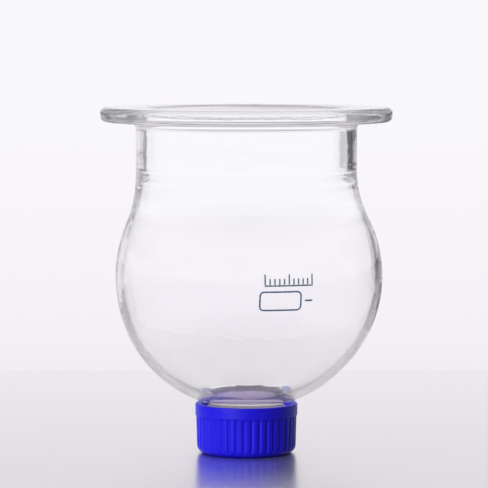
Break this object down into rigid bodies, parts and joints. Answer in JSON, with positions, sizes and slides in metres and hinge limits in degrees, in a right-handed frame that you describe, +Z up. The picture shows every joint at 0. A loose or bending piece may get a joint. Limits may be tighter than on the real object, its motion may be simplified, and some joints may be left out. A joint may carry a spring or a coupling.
{
  "type": "spherical flat-flange reaction vessel with capped bottom outlet",
  "caption": "Round clear glass reaction vessel with a wide flat-flange mouth and a screw-thread bottom outlet closed by a ribbed blue plastic cap.",
  "frame": {"origin": "centre of the cap's closed outer face, on the plane the vessel stands on", "axes": "+Z up along the vessel's axis, from the cap to the ground flange face; -Y is the front, where the enamel mark is"},
  "size_m": [0.1512, 0.1512, 0.18],
  "materials": {
    "borosilicate": "clear fire-polished, ground on the flange face",
    "enamel": "fired enamel print, satin",
    "cap_polypropylene": "semi-gloss moulded",
    "silicone": "matt translucent",
    "ptfe": "smooth waxy"
  },
  "bodies": {
    "vessel": {"flange_neck": "borosilicate", "bulb": "borosilicate", "outlet_tube": "borosilicate", "capacity_mark": "enamel"},
    "liner": {"seal_disc": "silicone", "seal_facing": "ptfe"},
    "cap": {"screw_cap": "cap_polypropylene"}
  },
  "joints": [
    {"name": "cap_travel", "type": "slide", "parent": "vessel", "child": "liner", "axis": [0, 0, -1], "range_m": [0, 0.0081]},
    {"name": "cap_turn", "type": "hinge", "parent": "liner", "child": "cap", "pos_m": [0, 0, 0.013], "axis": [0, 0, -1], "range_deg": [0, 720]}
  ],
  "couplings": [
    {"joint": "cap_travel", "follows": "cap_turn", "m_per_rad": 0.00063662}
  ]
}
